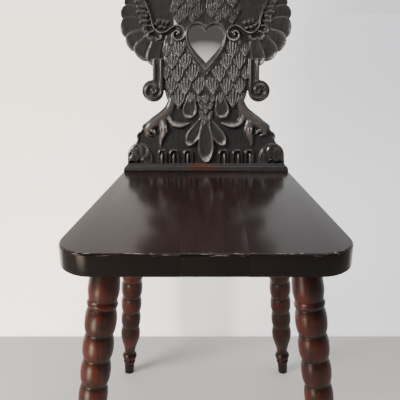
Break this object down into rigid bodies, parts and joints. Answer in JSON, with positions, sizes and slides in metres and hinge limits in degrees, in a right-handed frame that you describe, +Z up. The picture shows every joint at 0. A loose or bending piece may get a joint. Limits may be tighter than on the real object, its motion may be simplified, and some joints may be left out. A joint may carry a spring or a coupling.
{
  "type": "plank chair",
  "caption": "Plank chair: tapered plank seat on sliding battens, splayed bead-turned legs, and a carved eagle back board with a heart-shaped hand hole, tenoned through the seat and keyed below.",
  "frame": {"origin": "on the floor, at the middle of the whole chair's width and depth, under the seat", "axes": "+Z up, +Y towards the back board, +X to the right of someone who faces the chair's front"},
  "size_m": [0.408, 0.5404, 0.8868],
  "materials": {
    "seat_wood": "dark red-brown gloss lacquer over planks whose grain runs front to back, worn paler along the edges",
    "leg_wood": "red-brown stain and semi-gloss lacquer, near black in the turned grooves",
    "carved_wood": "near-black brown lacquer, darker in the hollows and rubbed grey-brown on the ridges",
    "under_wood": "plain stained softwood, unpolished",
    "key_wood": "plain hardwood, unfinished"
  },
  "bodies": {
    "root": {"seat_plank_left": "seat_wood", "seat_plank_middle": "seat_wood", "seat_plank_right": "seat_wood", "front_batten": "under_wood", "rear_batten": "under_wood", "leg_front_left": "leg_wood", "leg_front_right": "leg_wood", "leg_rear_left": "leg_wood", "leg_rear_right": "leg_wood", "wedge_front_left": "key_wood", "wedge_front_right": "key_wood", "wedge_rear_left": "key_wood", "wedge_rear_right": "key_wood", "back_board": "carved_wood", "back_key_left": "key_wood", "back_key_right": "key_wood"}
  },
  "joints": []
}
